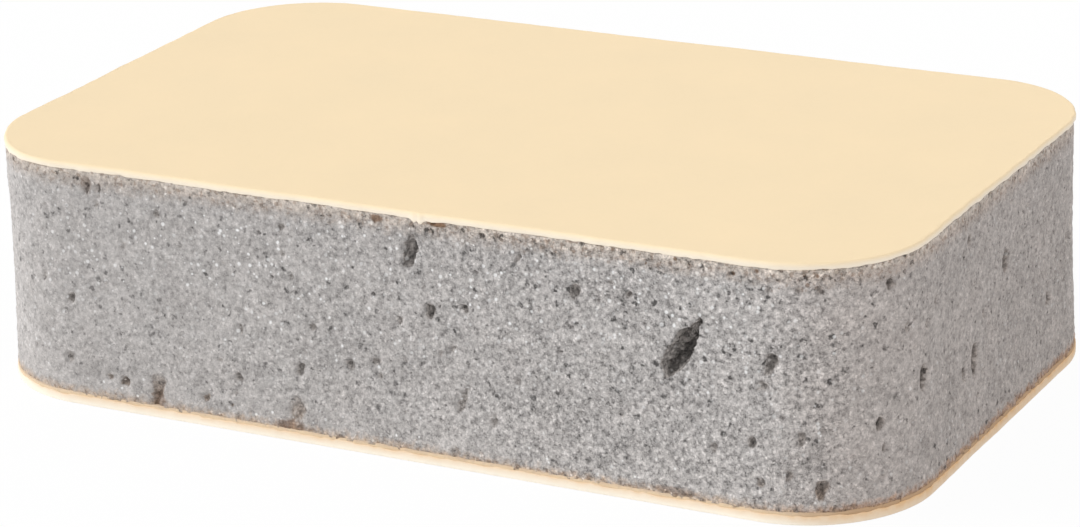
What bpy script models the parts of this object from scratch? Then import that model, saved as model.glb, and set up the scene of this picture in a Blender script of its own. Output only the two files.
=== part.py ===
"""Anti-condensation sponge: a die-cut block of open-cell foam faced on both sides with wiping cloth.

The block stands on its lower cloth, centred on the origin, with its long side along X and +Z up.
Each cloth is held to the foam by a film of adhesive. All lengths are in metres.
"""
import math
import random

import bmesh
import bpy
from mathutils import Matrix, Vector, noise

MM = 0.001

# Driving dimensions of the whole sponge, measured at the upper cloth
LENGTH = 133.0 * MM
WIDTH = 80.0 * MM
HEIGHT = 34.0 * MM
CORNER_RADIUS = 16.2 * MM
BASE_SPREAD = 0.6 * MM

# Cloth facings
CLOTH_THICKNESS = 1.2 * MM
CLOTH_EDGE_ROUND = 0.3 * MM

# Adhesive films, which stop a little short of the cloth's edge
FILM_THICKNESS = 0.3 * MM
FILM_SETBACK = 0.2 * MM

# Foam core: how far its wall stands back from the cloth's edge, and how far it is drawn in at half height
FOAM_SETBACK = 0.3 * MM
FOAM_WAIST = 0.25 * MM

# Bond line left between each pair of layers
SEAT_GAP = 0.3 * MM

# Small pits of the open cells, sown over the foam's four walls. Their lengths scatter about the middle one,
# their breadth and depth are shares of their own length, and they lean with the rise of the foam.
PIT_COUNT = 200
PIT_LENGTH = 1.15 * MM
PIT_SCATTER = 0.3
PIT_BREADTH = (0.62, 0.95)
PIT_DEPTH = (0.35, 0.6)
PIT_LEAN = 14.0
PIT_WEB = 0.45 * MM
TRIES_PER_PIT = 12
SEED = 11

# Ragged surface of the pits and voids: its depth as a share of their radius, and how many of its bumps go to
# their radius. Voids narrow to their foot by a share of their breadth.
PIT_RAGGED = 0.3
VOID_RAGGED = 0.35
BUMPS_PER_RADIUS = 1.7
VOID_TAPER = 0.3

# Voids longer than each of these are cut one step finer
VOID_DETAIL_LENGTHS = (2.4 * MM, 6.5 * MM)

# Faces of the model
CORNER_SEGMENTS = 8
WALL_LEVELS = 4
EDGE_SEGMENTS = 2
SMOOTH_ANGLE = math.radians(30)
EDGE_ANGLE = math.radians(60)

# Torn and blown voids that show at a glance. Each row gives the wall, its place along the wall from -1 at the
# left corner to 1 at the right corner as seen from outside, its height from 0 at the foam's foot to 1 at its
# top, its length, its breadth, its depth, and its lean from upright in degrees, clockwise from outside. A void
# narrows to its foot, so a lean past 90 turns its narrow end up.
VOIDS = (
    ("front", 0.64, 0.63, 9.0 * MM, 2.8 * MM, 3.2 * MM, 213),
    ("front", 0.83, 0.62, 3.2 * MM, 1.8 * MM, 1.4 * MM, 15),
    ("front", 0.81, 0.52, 1.8 * MM, 1.8 * MM, 1.0 * MM, 0),
    ("front", 0.04, 0.88, 4.8 * MM, 1.9 * MM, 1.7 * MM, 18),
    ("front", -0.58, 0.07, 5.0 * MM, 2.6 * MM, 0.9 * MM, 11),
    ("front", -0.24, 0.08, 4.7 * MM, 2.9 * MM, 0.7 * MM, 17),
    ("front", 0.15, 0.24, 4.9 * MM, 1.3 * MM, 0.7 * MM, 23),
    ("front", 0.22, 0.17, 2.4 * MM, 1.5 * MM, 0.7 * MM, 16),
    ("front", 0.08, 0.63, 2.8 * MM, 1.8 * MM, 1.2 * MM, 31),
    ("front", 0.01, 0.56, 2.1 * MM, 1.3 * MM, 0.8 * MM, 13),
    ("front", 0.16, 0.66, 1.3 * MM, 1.3 * MM, 1.0 * MM, 2),
    ("front", 0.13, 0.47, 1.6 * MM, 1.2 * MM, 0.7 * MM, 22),
    ("front", -0.11, 0.32, 1.7 * MM, 1.6 * MM, 1.1 * MM, 2),
    ("front", -0.05, 0.36, 1.9 * MM, 1.1 * MM, 0.9 * MM, 75),
    ("front", -0.04, 0.29, 1.4 * MM, 1.2 * MM, 0.8 * MM, 2),
    ("front", -0.23, 0.27, 2.4 * MM, 1.6 * MM, 1.0 * MM, 8),
    ("front", -0.24, 0.68, 2.0 * MM, 0.9 * MM, 0.7 * MM, 9),
    ("front", -0.26, 0.91, 1.9 * MM, 1.3 * MM, 1.1 * MM, 24),
    ("front", -0.37, 0.41, 2.4 * MM, 0.8 * MM, 0.9 * MM, 8),
    ("front", -0.65, 0.71, 2.2 * MM, 1.3 * MM, 0.5 * MM, 15),
    ("front", -0.70, 0.08, 1.4 * MM, 1.3 * MM, 0.9 * MM, 3),
    ("front", -0.73, 0.96, 2.5 * MM, 0.8 * MM, 1.0 * MM, 5),
    ("front", -0.70, 0.96, 2.5 * MM, 0.8 * MM, 1.0 * MM, 5),
    ("front", -0.71, 0.89, 1.8 * MM, 1.3 * MM, 0.8 * MM, 26),
    ("front", -0.79, 0.43, 1.9 * MM, 1.5 * MM, 1.1 * MM, 25),
    ("front", -0.80, 0.14, 2.1 * MM, 1.9 * MM, 0.8 * MM, 14),
    ("front", -0.86, 0.51, 2.2 * MM, 1.0 * MM, 0.6 * MM, 5),
    ("front", 0.41, 0.81, 2.5 * MM, 1.7 * MM, 1.0 * MM, 22),
    ("front", 0.53, 0.83, 1.3 * MM, 1.2 * MM, 1.1 * MM, 2),
    ("front", 0.71, 0.22, 2.1 * MM, 1.4 * MM, 0.8 * MM, 15),
    ("front", 0.79, 0.27, 2.4 * MM, 1.6 * MM, 1.2 * MM, 10),
    ("front", 0.81, 0.10, 1.7 * MM, 1.4 * MM, 0.8 * MM, 0),
    ("front", 0.89, 0.30, 2.2 * MM, 1.3 * MM, 0.9 * MM, 15),
    ("front", 0.93, 0.08, 2.9 * MM, 1.7 * MM, 1.2 * MM, 19),
    ("front", 0.93, 0.95, 1.4 * MM, 1.2 * MM, 1.0 * MM, 0),
    ("right", -0.91, 0.33, 2.4 * MM, 1.8 * MM, 1.2 * MM, 13),
    ("right", -0.86, 0.93, 1.9 * MM, 2.0 * MM, 1.2 * MM, 27),
    ("right", -0.78, 0.72, 1.8 * MM, 1.2 * MM, 0.8 * MM, 0),
    ("right", -0.68, 0.46, 4.0 * MM, 2.0 * MM, 1.5 * MM, 3),
    ("right", -0.33, 0.32, 2.6 * MM, 1.5 * MM, 0.8 * MM, 4),
    ("right", -0.23, 0.33, 6.1 * MM, 2.4 * MM, 1.5 * MM, 4),
    ("right", 0.07, 0.66, 3.8 * MM, 2.0 * MM, 1.5 * MM, 0),
    ("back", -0.52, 0.58, 5.2 * MM, 2.2 * MM, 1.6 * MM, -21),
    ("back", 0.33, 0.30, 3.4 * MM, 1.9 * MM, 1.2 * MM, -12),
    ("back", 0.71, 0.76, 2.4 * MM, 1.7 * MM, 1.0 * MM, -16),
    ("left", 0.22, 0.44, 3.6 * MM, 1.9 * MM, 1.2 * MM, -14),
    ("left", -0.48, 0.70, 2.3 * MM, 1.6 * MM, 1.0 * MM, -20),
)

WALLS = ("front", "right", "back", "left")

# Worked out from the sizes above
LOWER_FILM_BASE = CLOTH_THICKNESS + SEAT_GAP
FOAM_BASE = LOWER_FILM_BASE + FILM_THICKNESS + SEAT_GAP
UPPER_CLOTH_BASE = HEIGHT - CLOTH_THICKNESS
UPPER_FILM_BASE = UPPER_CLOTH_BASE - SEAT_GAP - FILM_THICKNESS
FOAM_TOP = UPPER_FILM_BASE - SEAT_GAP
FOAM_HEIGHT = FOAM_TOP - FOAM_BASE
HALF_CORE = Vector((LENGTH / 2 - CORNER_RADIUS, WIDTH / 2 - CORNER_RADIUS))


def clear_scene():
    """Empty the file, so that the model starts from nothing."""
    for item in list(bpy.data.objects):
        bpy.data.objects.remove(item, do_unlink=True)


def new_collection(name):
    """Make a collection in the scene."""
    collection = bpy.data.collections.new(name)
    bpy.context.scene.collection.children.link(collection)
    return collection


def material(name, colour, roughness):
    """Make a plain non-metal finish."""
    finish = bpy.data.materials.new(name)
    finish.use_nodes = True
    shader = finish.node_tree.nodes["Principled BSDF"]
    shader.inputs["Base Color"].default_value = (*colour, 1.0)
    shader.inputs["Roughness"].default_value = roughness
    shader.inputs["Metallic"].default_value = 0.0
    finish.diffuse_color = (*colour, 1.0)
    return finish


def spread_at(height):
    """How far the die-cut wall stands past the upper cloth's outline: the block widens to its base."""
    return BASE_SPREAD * (1 - height / HEIGHT)


def foam_offset(height):
    """Foam wall against the upper cloth's outline: spread, set back and drawn in at half height."""
    share = (height - FOAM_BASE) / FOAM_HEIGHT
    waist = FOAM_WAIST * (1 - (2 * share - 1) ** 2)
    return spread_at(height) - FOAM_SETBACK - waist


def nearest_core(point):
    """Nearest point of the rectangle through the four corner centres."""
    return Vector(
        (
            max(-HALF_CORE.x, min(HALF_CORE.x, point.x)),
            max(-HALF_CORE.y, min(HALF_CORE.y, point.y)),
        )
    )


def rounded_slab(base, top, offset_at, levels):
    """Block with the sponge's round-cornered outline, moved in or out by offset_at(height)."""
    mesh = bmesh.new()
    bmesh.ops.create_cube(mesh, size=1.0)
    bmesh.ops.scale(mesh, vec=(LENGTH, WIDTH, top - base), verts=mesh.verts)
    bmesh.ops.translate(mesh, vec=(0, 0, (base + top) / 2), verts=mesh.verts)
    uprights = [edge for edge in mesh.edges if edge.verts[0].co.xy == edge.verts[1].co.xy]
    bmesh.ops.bevel(
        mesh,
        geom=uprights,
        offset=CORNER_RADIUS,
        offset_type="OFFSET",
        segments=CORNER_SEGMENTS,
        profile=0.5,
        affect="EDGES",
    )
    for level in range(1, levels):
        height = base + (top - base) * level / levels
        bmesh.ops.bisect_plane(
            mesh,
            geom=[*mesh.verts, *mesh.edges, *mesh.faces],
            plane_co=(0, 0, height),
            plane_no=(0, 0, 1),
        )
    for vertex in mesh.verts:
        outward = (vertex.co.xy - nearest_core(vertex.co)).normalized()
        offset = offset_at(vertex.co.z)
        vertex.co.x += outward.x * offset
        vertex.co.y += outward.y * offset
    return mesh


def add_object(name, mesh, collection, finish):
    """Put a mesh into the scene as one named piece, smooth round its corners."""
    data = bpy.data.meshes.new(name)
    mesh.to_mesh(data)
    mesh.free()
    data.shade_smooth()
    data.set_sharp_from_angle(angle=SMOOTH_ANGLE)
    piece = bpy.data.objects.new(name, data)
    piece.data.materials.append(finish)
    collection.objects.link(piece)
    return piece


def half_run(wall):
    """Half of a wall's straight run, and half of the run across the block from it."""
    if wall in ("front", "back"):
        return HALF_CORE.x, HALF_CORE.y
    return HALF_CORE.y, HALF_CORE.x


def wall_place(wall, along, height):
    """Point on the foam's wall, and the wall's outward direction there."""
    straight, across = half_run(wall)
    reach = straight + CORNER_RADIUS * math.pi / 4
    run = along * reach
    flat = max(-straight, min(straight, run))
    turn = (run - flat) / CORNER_RADIUS
    facing = math.radians(90 * WALLS.index(wall) - 90)
    forward = Vector((math.cos(facing), math.sin(facing)))
    sideways = Vector((-forward.y, forward.x))
    outward = Vector((math.cos(facing + turn), math.sin(facing + turn)))
    point = forward * across + sideways * flat + outward * (CORNER_RADIUS + foam_offset(height))
    return Vector((*point, height)), Vector((*outward, 0.0))


def add_cutter(mesh, centre, outward, size, lean, detail, ragged, taper=0.0):
    """Add an egg-shaped cutter whose middle lies on the wall, roughened, and narrower towards its foot."""
    made = bmesh.ops.create_icosphere(mesh, subdivisions=detail, radius=1.0)["verts"]
    length, breadth, depth = size
    for vertex in made:
        across, inward, along = vertex.co
        rough = 1 + ragged * noise.noise(vertex.co * BUMPS_PER_RADIUS + centre / MM)
        narrow = 1 + taper * along
        vertex.co = Vector((across * narrow * breadth / 2, inward * depth, along * length / 2)) * rough
    upright = Vector((0, 0, 1))
    frame = Matrix((upright.cross(outward), -outward, upright)).transposed().to_4x4()
    tilt = Matrix.Rotation(math.radians(lean), 4, "Y")
    bmesh.ops.transform(mesh, matrix=Matrix.Translation(centre) @ frame @ tilt, verts=made)


def add_void_cutters(mesh, taken):
    """Add a cutter for each large void, and note the room that it takes."""
    for wall, along, up, length, breadth, depth, lean in VOIDS:
        centre, outward = wall_place(wall, along, FOAM_BASE + up * FOAM_HEIGHT)
        detail = 1 + sum(length > step for step in VOID_DETAIL_LENGTHS)
        add_cutter(mesh, centre, outward, (length, breadth, depth), lean, detail, VOID_RAGGED, VOID_TAPER)
        taken.append((centre, length / 2))


def add_pit_cutters(mesh, taken):
    """Sow small pits over the four walls, each clear of its neighbours and of the foam's cut edges."""
    draw = random.Random(SEED)
    runs = [half_run(wall)[0] + CORNER_RADIUS * math.pi / 4 for wall in WALLS]
    sown = 0
    for _ in range(PIT_COUNT * TRIES_PER_PIT):
        if sown == PIT_COUNT:
            break
        length = PIT_LENGTH * draw.lognormvariate(0, PIT_SCATTER)
        breadth = length * draw.uniform(*PIT_BREADTH)
        depth = length * draw.uniform(*PIT_DEPTH)
        lean = draw.gauss(PIT_LEAN, PIT_LEAN)
        wall = draw.choices(WALLS, weights=runs)[0]
        margin = PIT_WEB + length / 2
        height = draw.uniform(FOAM_BASE + margin, FOAM_TOP - margin)
        centre, outward = wall_place(wall, draw.uniform(-1, 1), height)
        if any((centre - other).length < length / 2 + room + PIT_WEB for other, room in taken):
            continue
        taken.append((centre, length / 2))
        add_cutter(mesh, centre, outward, (length, breadth, depth), lean, 1, PIT_RAGGED)
        sown += 1


def carve(piece, cutters):
    """Cut the pits and voids out of the foam."""
    cut = piece.modifiers.new("pits", "BOOLEAN")
    cut.operation = "DIFFERENCE"
    cut.solver = "EXACT"
    cut.object = cutters


def build_foam(parts, guides):
    """Foam core: waisted block with open pits and voids in its walls."""
    foam = material("grey_foam", (0.40, 0.385, 0.375), 0.95)
    block = rounded_slab(FOAM_BASE, FOAM_TOP, foam_offset, WALL_LEVELS)
    piece = add_object("foam_core", block, parts, foam)
    mesh = bmesh.new()
    taken = []
    add_void_cutters(mesh, taken)
    add_pit_cutters(mesh, taken)
    cutters = add_object("pit_cutters", mesh, guides, foam)
    cutters.hide_render = True
    cutters.display_type = "WIRE"
    carve(piece, cutters)


def build_film(name, base, parts, finish):
    """Adhesive film between the foam and one cloth."""
    mesh = rounded_slab(base, base + FILM_THICKNESS, lambda height: spread_at(height) - FILM_SETBACK, 1)
    add_object(name, mesh, parts, finish)


def build_cloth(name, base, parts, finish):
    """Cloth facing with softly rounded cut edges."""
    mesh = rounded_slab(base, base + CLOTH_THICKNESS, spread_at, 1)
    piece = add_object(name, mesh, parts, finish)
    edge = piece.modifiers.new("cut_edge", "BEVEL")
    edge.width = CLOTH_EDGE_ROUND
    edge.segments = EDGE_SEGMENTS
    edge.limit_method = "ANGLE"
    edge.angle_limit = EDGE_ANGLE


def build():
    """Model the whole sponge."""
    clear_scene()
    parts = new_collection("anti_condensation_sponge")
    guides = new_collection("cutters")
    cloth = material("cream_cloth", (0.93, 0.76, 0.51), 0.9)
    glue = material("amber_glue", (0.45, 0.24, 0.10), 0.55)
    build_cloth("lower_cloth", 0.0, parts, cloth)
    build_film("lower_bond_film", LOWER_FILM_BASE, parts, glue)
    build_foam(parts, guides)
    build_film("upper_bond_film", UPPER_FILM_BASE, parts, glue)
    build_cloth("upper_cloth", UPPER_CLOTH_BASE, parts, cloth)


build()
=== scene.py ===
"""Anti-condensation sponge: a block of grey open-cell foam faced on both sides with cream wiping cloth.

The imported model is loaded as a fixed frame. The foam, the cloths and the adhesive are built over it as
detailed meshes with procedural finishes. Lengths are in metres, and the sponge's long side lies along X.
"""
import math

import bpy
import numpy as np
from bpy.props import FloatProperty, FloatVectorProperty, IntProperty, PointerProperty
from bpy.types import Operator, Panel, PropertyGroup
from mathutils import Matrix, Vector
from mathutils.bvhtree import BVHTree
from mathutils.geometry import delaunay_2d_cdt


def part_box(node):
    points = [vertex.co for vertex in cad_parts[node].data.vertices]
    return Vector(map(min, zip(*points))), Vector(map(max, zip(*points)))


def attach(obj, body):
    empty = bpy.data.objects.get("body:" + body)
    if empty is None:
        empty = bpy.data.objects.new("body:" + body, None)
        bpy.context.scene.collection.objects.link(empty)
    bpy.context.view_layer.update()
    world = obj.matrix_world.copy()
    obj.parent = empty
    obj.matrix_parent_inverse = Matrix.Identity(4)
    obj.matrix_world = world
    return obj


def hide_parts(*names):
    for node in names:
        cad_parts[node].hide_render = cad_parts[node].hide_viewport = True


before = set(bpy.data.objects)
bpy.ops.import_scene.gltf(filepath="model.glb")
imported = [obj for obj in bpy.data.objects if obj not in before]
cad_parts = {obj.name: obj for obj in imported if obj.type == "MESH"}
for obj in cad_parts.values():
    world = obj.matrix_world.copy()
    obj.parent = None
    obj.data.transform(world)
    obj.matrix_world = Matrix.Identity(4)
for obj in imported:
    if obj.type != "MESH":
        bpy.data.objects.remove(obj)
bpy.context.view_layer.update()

bl_info = {
    "name": "Anti-condensation sponge",
    "version": (1, 0, 0),
    "blender": (4, 5, 0),
    "location": "View3D > Sidebar > Sponge",
    "description": "Builds a foam block faced with wiping cloth, its finishes, stage and camera",
    "category": "Object",
}

MM = 0.001
# How far a round corner of radius 1 falls short of a sharp one, along X and Y together.
CORNER_SHORTFALL = 2 - math.sqrt(2)

# Stretches along X in millimetres over which the foam's look changes, each named for what it leads to.
LEFT_END = (-67.0, -49.0)
SPARSE_LEFT = (-66.0, -30.0)
WHOLE_FRONT = (-60.0, 60.0)
SHARPER_RIGHT = (-50.0, 40.0)
CRUMBLY_RIGHT = (10.0, 40.0)
WARM_END = (48.0, 64.0)
DULL_END = (54.0, 64.0)
BLURRED_END = (56.0, 66.0)
CLEAN_END = (58.0, 64.0)
DARK_END = (60.0, 66.0)
# The same along Y: from the front wall to behind it, and from the middle to the back wall.
BEHIND_FRONT = (-30.0, -20.0)
TO_THE_BACK = (22.0, 38.0)

# Millimetres past a bond film at which the adhesive in the foam is at its full, and at nothing.
LOWER_WET_REACH = (-0.9, 0.3)
UPPER_WET_REACH = (-0.9, 0.6)
LOWER_STAIN_REACH = (-0.3, 1.2)
UPPER_STAIN_REACH = (-0.3, 2.2)
SEEP_REACH = (0.5, 5.0)
CRUMB_REACH = (0.0, 4.0)

# Layers of dark cell mouths, painted shade inside open cells: width in common cells, least and greatest
# radius, least strength, and darkness.
CELL_MOUTHS = (
    (1.3, (0.12, 0.4), -0.2, 0.55),
    (2.4, (0.14, 0.4), -0.6, 0.95),
    (5.0, (0.12, 0.3), -0.8, 0.4),
)
# Brown patches of adhesive on the front: centre and half sizes along X and Z in millimetres, and strength.
ADHESIVE_MARKS = (
    ((-2.0, 32.4), (1.0, 0.6), 0.9),
    ((6.9, 32.7), (1.6, 0.45), 1.0),
    ((-16.0, 2.1), (2.4, 0.9), 0.7),
    ((-36.4, 2.6), (1.2, 1.2), 0.5),
    ((-46.0, 31.2), (0.9, 1.5), 0.35),
    ((39.0, 2.2), (3.0, 0.6), 0.5),
)
# Depths in millimetres between which a pit's rim lies, and between which a pit turns into a torn void.
PIT_RIM = (0.15, 0.7)
VOID_DEPTHS = (1.5, 2.0)
# Steps of the wall's grid: how far a void's crisp rim reaches, and how far right and down its painted-shadow
# foot is sought.
VOID_MARGIN = 8
FOOT_STEPS = (3, 5)
# Cells cut open by the wall: spacing, least and greatest radius, share of places that hold one, and seed.
COMMON_CELLS = (0.66 * MM, (0.2 * MM, 0.36 * MM), 0.5, 20)
LARGE_CELLS = (1.9 * MM, (0.3 * MM, 0.6 * MM), 0.35, 40)
# Heights of the foam's frayed edge at a bond and of the band pressed with the upper cloth, how far the edge
# frays, how far it reaches below the lower film, and how much more it is pressed at the right-hand end.
FRAYED_BAND = 0.3 * MM
PRESSED_BAND = 0.8 * MM
FRAY = 0.2 * MM
FOOT_OVERLAP = 0.1 * MM
END_PRESSING = 0.12 * MM

# Rings of a cloth: spacing of their points, insets on its face, and how far in the cut edge's wander goes.
# Then how far its face sags.
CLOTH_STEP = 0.35 * MM
FACE_INSETS = (0.15 * MM, 0.5 * MM, 1.1 * MM, 2.0 * MM)
WANDER_REACH = 3 * MM
CLOTH_SAG = 0.05 * MM
# Wisp of fibres at the upper cloth's front edge: place along X, widths left and right of it, drop and bulge.
WISP_PLACE = 4.1 * MM
WISP_WIDTHS = (0.8 * MM, 2.4 * MM)
WISP_DROP = 0.5 * MM
WISP_BULGE = 0.2 * MM

# Rings of a bond line: spacing of their points, and how far each stands out, from the lowest to the highest.
BOND_STEP = 0.3 * MM
BOND_BULGE = (0.0, 0.02 * MM, 0.02 * MM, 0.0)

# Stage: half the floor's width, its gap under the sponge, and the camera's sensor width in millimetres.
FLOOR_HALF = 3.0
FLOOR_GAP = 0.02 * MM
SENSOR_WIDTH = 36.0


# Outline of the sponge, read from the frame


def corner_radius(node):
    """Radius of a node's upright corners, from how far its outline falls short of a sharp corner."""
    low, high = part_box(node)
    reach = max(v.co.x + v.co.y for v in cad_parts[node].data.vertices)
    return (high.x + high.y - reach) / CORNER_SHORTFALL


class Outline:
    """Round-cornered outline of the sponge, seen from above and widening from the upper cloth to the base."""

    def __init__(self):
        top_low, top_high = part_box("upper_cloth")
        base_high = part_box("lower_cloth")[1]
        self.radius = corner_radius("upper_cloth")
        self.height = top_high.z
        self.half_core = np.array([top_high.x - self.radius, top_high.y - self.radius])
        self.spread = base_high.x - top_high.x
        self.arc = self.radius * math.pi / 2
        straight = 2 * self.half_core
        self.runs = [straight[0], self.arc, straight[1], self.arc] * 2
        self.perimeter = sum(self.runs)

    def points(self, count):
        """Core points and outward directions at even steps round the outline, from the front's left end."""
        run = np.arange(count) * self.perimeter / count
        core = np.zeros((count, 2))
        turn = np.zeros(count)
        hx, hy = self.half_core
        corners = [(-hx, -hy), (hx, -hy), (hx, hy), (-hx, hy)]
        start = 0.0
        for index, length in enumerate(self.runs):
            inside = (run >= start - 1e-12) & (run < start + length)
            share = (run[inside] - start) / length
            side = index // 2
            here = np.array(corners[side])
            ahead = np.array(corners[(side + 1) % 4])
            if index % 2 == 0:
                core[inside] = here + (ahead - here) * share[:, None]
                turn[inside] = side * math.pi / 2
            else:
                core[inside] = ahead
                turn[inside] = (side + share) * math.pi / 2
            start += length
        facing = turn - math.pi / 2
        outward = np.stack([np.cos(facing), np.sin(facing)], axis=1)
        return core, outward

    def spread_at(self, height):
        """How far the cut wall stands past the upper cloth's outline at a height."""
        return self.spread * (1 - np.asarray(height) / self.height)


OUTLINE = Outline()


# Noise on arrays of points, the same in every run


def lattice(cells, seed):
    """Even random numbers from 0 to 1, one for each whole-number cell."""
    x, y, z = (cells[..., i].astype(np.int64).astype(np.uint32) for i in range(3))
    prime_x, prime_y, prime_z = np.uint32(73856093), np.uint32(19349663), np.uint32(83492791)
    mixed = x * prime_x ^ y * prime_y ^ z * prime_z
    seed_prime = 2654435761
    mixed ^= np.uint32(seed * seed_prime % 2**32)
    for stirring_factor in (0x7FEB352D, 0x846CA68B):
        mixed ^= mixed >> np.uint32(15)
        mixed = mixed * np.uint32(stirring_factor)
    mixed ^= mixed >> np.uint32(16)
    return mixed.astype(np.float64) / 2**32


def soft_noise(points, step, seed):
    """Smooth noise from -1 to 1 whose lumps are about one step wide."""
    scaled = points / step
    base = np.floor(scaled)
    blend = scaled - base
    blend = blend * blend * (3 - 2 * blend)
    total = np.zeros(len(points))
    for corner in np.ndindex(2, 2, 2):
        shift = np.array(corner)
        weight = np.prod(np.where(shift, blend, 1 - blend), axis=1)
        total += weight * lattice(base + shift, seed)
    return 2 * total - 1


def layered_noise(points, *layers):
    """Sum of smooth noises, each given by its height, step and seed."""
    return sum(height * soft_noise(points, step, seed) for height, step, seed in layers)


def bubble_depth(points, inward, step, radii, share, seed):
    """Depth of the cups that bubbles leave where the wall cuts them, one bubble in a share of the cells."""
    scaled = points / step
    base = np.floor(scaled)
    depth = np.zeros(len(points))
    for neighbour in np.ndindex(3, 3, 3):
        cell = base + np.array(neighbour) - 1
        centre = cell + 0.2 + 0.6 * np.stack([lattice(cell, seed + k) for k in range(3)], axis=1)
        radius = (radii[0] + (radii[1] - radii[0]) * lattice(cell, seed + 3)) / step
        there = lattice(cell, seed + 4) < share
        offset = scaled - centre
        along = (offset * inward).sum(axis=1)
        room = radius**2 - (offset**2).sum(axis=1)
        cup = np.sqrt(np.maximum(along**2 + room, 0)) - along
        depth = np.maximum(depth, np.where(there & (room > 0), cup * step, 0))
    return depth


# Meshes


def at_level(flat, level):
    """Points in space from points seen from above, all at one level or each at its own."""
    return np.column_stack([flat, np.broadcast_to(level, len(flat))])


def mesh_object(name, points, quads, triangles=()):
    """Make an object from points, quads and triangles, shaded smooth."""
    mesh = bpy.data.meshes.new(name)
    mesh.from_pydata(points, [], [*np.asarray(quads).tolist(), *np.asarray(triangles).tolist()])
    mesh.validate()
    mesh.shade_smooth()
    piece = bpy.data.objects.new(name, mesh)
    bpy.context.scene.collection.objects.link(piece)
    return piece


def tube_quads(rows, columns):
    """Faces of a wall of rows of points, each row a closed ring, facing out when rows rise."""
    row, column = np.meshgrid(np.arange(rows - 1), np.arange(columns), indexing="ij")
    ahead = (column + 1) % columns
    here = row * columns
    above = here + columns
    return np.stack([here + column, here + ahead, above + ahead, above + column], axis=-1).reshape(-1, 4)


def cap_fan(ring, hub, upwards):
    """Triangles from a ring of points to its hub."""
    ahead = np.roll(ring, -1)
    hubs = np.full(len(ring), hub)
    return np.stack([ring, ahead, hubs] if upwards else [ahead, ring, hubs], axis=1)


def set_attribute(piece, name, values):
    """Give each point of a piece a number that its finish reads."""
    attribute = piece.data.attributes.new(name, "FLOAT", "POINT")
    attribute.data.foreach_set("value", np.asarray(values, dtype=np.float32))


# Materials


class Nodes:
    """Short ways to add and join the nodes of a material or of the surroundings."""

    def __init__(self, owner):
        owner.use_nodes = True
        self.tree = owner.node_tree

    def node(self, kind, **options):
        """Add a node with its options."""
        made = self.tree.nodes.new(kind)
        for name, value in options.items():
            setattr(made, name, value)
        return made

    def link(self, source, target):
        """Join an output to an input."""
        self.tree.links.new(source, target)

    def feed(self, socket, value):
        """Link a node's output to a socket, or set the socket to a plain value."""
        if isinstance(value, bpy.types.NodeSocket):
            self.link(value, socket)
        else:
            socket.default_value = value

    def math(self, operation, first, second=0.0):
        """One step of arithmetic on numbers."""
        made = self.node("ShaderNodeMath", operation=operation)
        self.feed(made.inputs[0], first)
        self.feed(made.inputs[1], second)
        return made.outputs[0]

    def times(self, product, *factors):
        """Product of numbers."""
        for factor in factors:
            product = self.math("MULTIPLY", product, factor)
        return product

    def plus(self, total, *terms):
        """Sum of numbers."""
        for term in terms:
            total = self.math("ADD", total, term)
        return total

    def ramp(self, value, low, high, to_low=0.0, to_high=1.0):
        """Map value from low..high to to_low..to_high, smoothly and clamped."""
        made = self.node("ShaderNodeMapRange", interpolation_type="SMOOTHSTEP")
        self.feed(made.inputs["Value"], value)
        for name, number in (("From Min", low), ("From Max", high), ("To Min", to_low), ("To Max", to_high)):
            self.feed(made.inputs[name], number)
        return made.outputs["Result"]


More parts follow.
